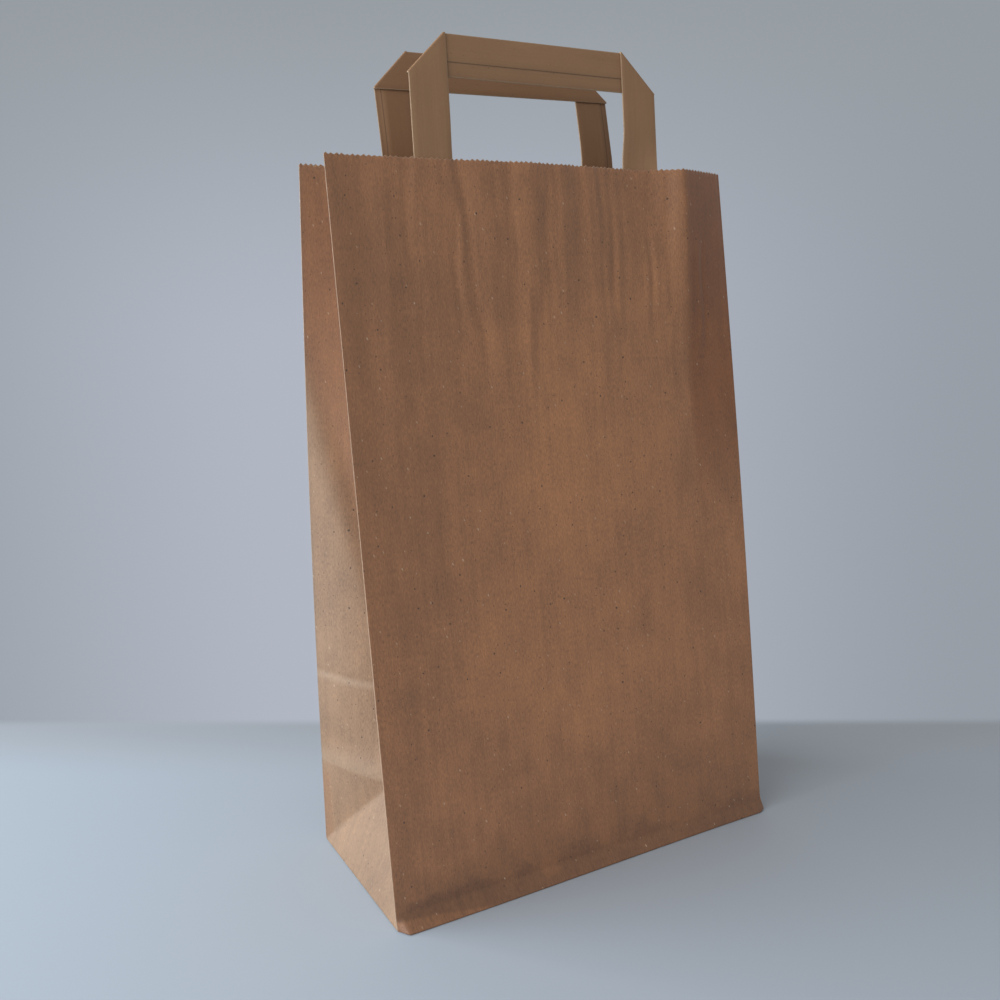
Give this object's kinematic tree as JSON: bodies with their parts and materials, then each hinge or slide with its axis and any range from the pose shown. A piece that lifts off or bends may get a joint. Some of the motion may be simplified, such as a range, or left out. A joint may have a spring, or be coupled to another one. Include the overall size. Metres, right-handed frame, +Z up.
{
  "type": "paper carrier bag",
  "caption": "Open kraft paper carrier bag with side gussets, block bottom, saw-cut rim and flat folded-tape handles.",
  "frame": {"origin": "middle of the base's fold rectangle, at the level of the underside that rests on the table", "axes": "+X across the width, +Y from the front panel to the back panel, +Z up"},
  "size_m": [0.2236, 0.1083, 0.4088],
  "materials": {
    "kraft_sheet": "uncoated brown kraft paper, matt, with fine upright fibre grain and sparse dark and pale specks",
    "handle_tape": "folded and glued brown kraft tape, matt, a little greyer and smoother than the bag",
    "patch_paper": "uncoated brown kraft paper, matt"
  },
  "bodies": {
    "root": {"bag_body": "kraft_sheet", "front_handle": "handle_tape", "back_handle": "handle_tape", "front_patch": "patch_paper", "back_patch": "patch_paper"}
  },
  "joints": []
}
